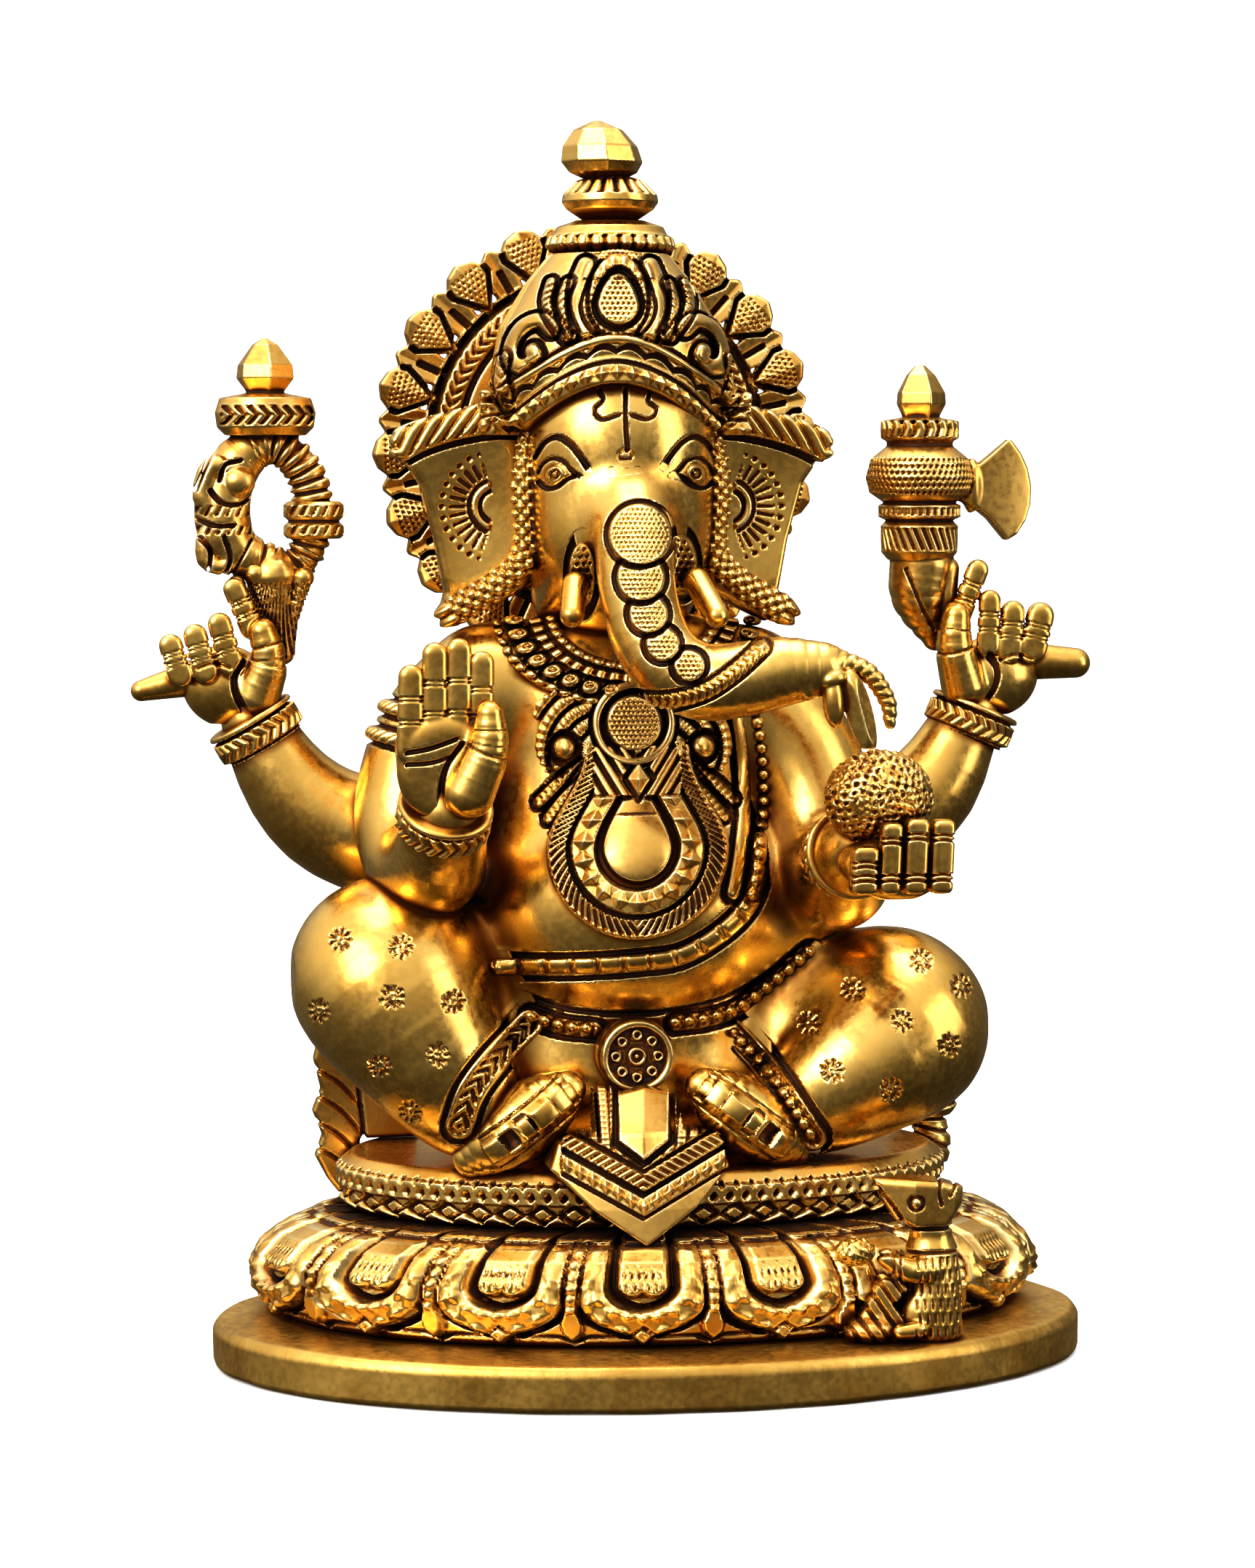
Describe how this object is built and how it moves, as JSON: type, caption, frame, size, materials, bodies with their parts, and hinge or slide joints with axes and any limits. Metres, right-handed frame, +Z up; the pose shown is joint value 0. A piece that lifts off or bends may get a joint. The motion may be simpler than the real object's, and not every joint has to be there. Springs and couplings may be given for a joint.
{
  "type": "deity statue",
  "caption": "Seated elephant-headed deity in antiqued brass on an oval lotus base, with petal halo, crown, noose, axe, sweet ball and a mouse at its feet, for standing on a shelf or altar.",
  "frame": {"origin": "under the middle of the bounding box, on the surface the statue stands on", "axes": "+Z up; the deity faces -Y; +X is the deity's own left, the side that the trunk turns to"},
  "size_m": [0.159, 0.092, 0.1982],
  "materials": {
    "polished_brass": "hand-polished to a soft shine, brown patina left in the engraved lines and hollows",
    "chased_brass": "cast and chased relief, rubbed bright on its high points and nearly black in its grooves",
    "filed_brass": "filed flat, satin, with fine scratches along its length"
  },
  "bodies": {
    "root": {"axe": "chased_brass", "axe_butt": "polished_brass", "base_plate": "filed_brass", "belly_pendant": "chased_brass", "belt_buckle": "chased_brass", "chest_jewel": "chased_brass", "crown": "chased_brass", "crown_finial": "polished_brass", "crown_lower_tier": "polished_brass", "crown_upper_tier": "polished_brass", "front_drape": "chased_brass", "front_left_arm": "polished_brass", "front_left_bangle": "chased_brass", "front_left_hand": "polished_brass", "front_right_arm": "polished_brass", "front_right_bangle": "chased_brass", "front_right_hand": "polished_brass", "halo": "chased_brass", "head": "polished_brass", "left_cloth_end": "chased_brass", "left_ear": "polished_brass", "left_foot": "polished_brass", "left_leg": "polished_brass", "left_tusk": "polished_brass", "lotus_base": "chased_brass", "mouse": "polished_brass", "mouse_sweet": "polished_brass", "mouse_tail_cloth": "chased_brass", "necklace": "chased_brass", "noose": "chased_brass", "noose_tail": "polished_brass", "rear_left_arm": "polished_brass", "rear_left_bangle": "chased_brass", "rear_left_hand": "polished_brass", "rear_right_arm": "polished_brass", "rear_right_bangle": "chased_brass", "rear_right_hand": "polished_brass", "right_cloth_end": "chased_brass", "right_ear": "polished_brass", "right_foot": "polished_brass", "right_leg": "polished_brass", "right_tusk": "polished_brass", "seat_cushion": "chased_brass", "sweet_ball": "chased_brass", "torso": "polished_brass", "trunk": "polished_brass"}
  },
  "joints": []
}
